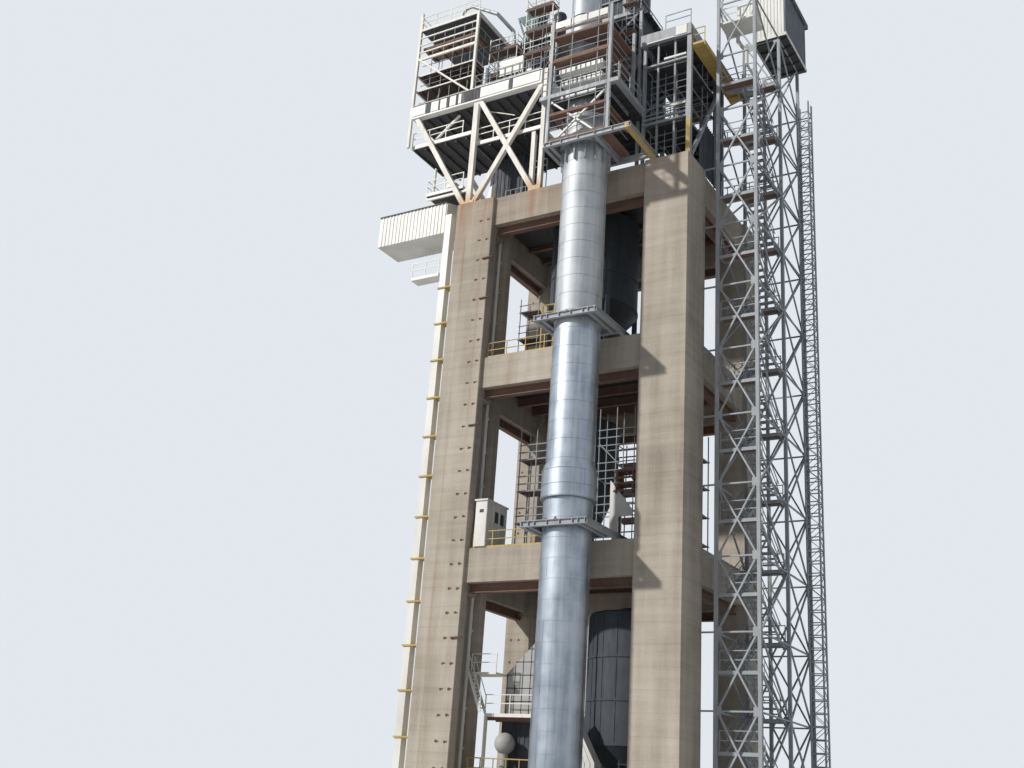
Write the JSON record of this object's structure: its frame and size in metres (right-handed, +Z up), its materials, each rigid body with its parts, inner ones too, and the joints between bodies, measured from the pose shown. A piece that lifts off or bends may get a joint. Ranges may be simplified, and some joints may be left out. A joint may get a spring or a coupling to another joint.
{
  "type": "kiln preheater tower, 1:10 scale model",
  "caption": "Concrete-framed preheater tower of a cement kiln with a clad downcomer duct, cyclones, braced top blocks and a lattice stair tower, as a 1:10 scale model.",
  "frame": {"origin": "middle of the front left column's foot, on the ground", "axes": "+X along the front to the right, +Y away from the front, +Z up"},
  "size_m": [2.8926, 1.725, 7.3],
  "materials": {
    "concrete": "matt board-marked concrete",
    "rusty_steel": "rusty red primer",
    "grey_steel": "galvanised grey",
    "cladding": "bright sheet cladding",
    "cream_steel": "cream paint",
    "white_sheet": "white profiled sheet",
    "dark_steel": "dark grey plate",
    "yellow_steel": "yellow paint"
  },
  "bodies": {
    "root": {"column_front_left": "concrete", "column_front_right": "concrete", "column_back_left": "concrete", "column_back_right": "concrete", "beams_level_1": "concrete", "beams_level_2": "concrete", "beams_level_3": "concrete", "beams_level_4": "concrete", "soffit_girders": "rusty_steel", "floor_level_1": "dark_steel", "floor_level_2": "dark_steel", "floor_level_3": "dark_steel", "floor_level_4": "dark_steel", "column_pipes": "cream_steel", "duct_hopper": "cladding", "duct_lower": "cladding", "expansion_sleeve": "cladding", "duct_upper": "cladding", "banded_vessel": "cladding", "duct_bracket_1": "grey_steel", "duct_bracket_2": "grey_steel", "duct_bracket_3": "grey_steel", "duct_ring_frame": "grey_steel", "cyclone_lower": "dark_steel", "cyclone_middle": "dark_steel", "cyclone_upper": "dark_steel", "lower_bay_ducts": "white_sheet", "bay_platforms": "cream_steel", "riser_casing": "white_sheet", "riser_clamps": "yellow_steel", "transfer_gallery": "white_sheet", "equipment_container": "white_sheet", "side_deck": "white_sheet", "brace_frame": "cream_steel", "left_lower_deck": "white_sheet", "left_upper_deck": "white_sheet", "left_block_frame": "cream_steel", "left_machinery": "dark_steel", "mid_block_frame": "grey_steel", "mid_block_decks": "rusty_steel", "mid_grey_decks": "grey_steel", "right_block_frame": "grey_steel", "right_block_roof": "grey_steel", "level_railings": "yellow_steel", "link_walkway": "yellow_steel", "stair_frame_front": "grey_steel", "stair_frame_back": "grey_steel", "stair_frame_left": "grey_steel", "stair_frame_right": "grey_steel", "shaft_frame_right": "grey_steel", "shaft_frame_back": "grey_steel", "stair_landings": "grey_steel", "stair_stringers": "grey_steel", "stair_treads": "grey_steel", "landing_railings": "grey_steel", "stair_ties": "grey_steel", "hoist_mast": "grey_steel", "top_cabin": "white_sheet", "head_house": "white_sheet", "head_house_roof": "grey_steel"}
  },
  "joints": []
}
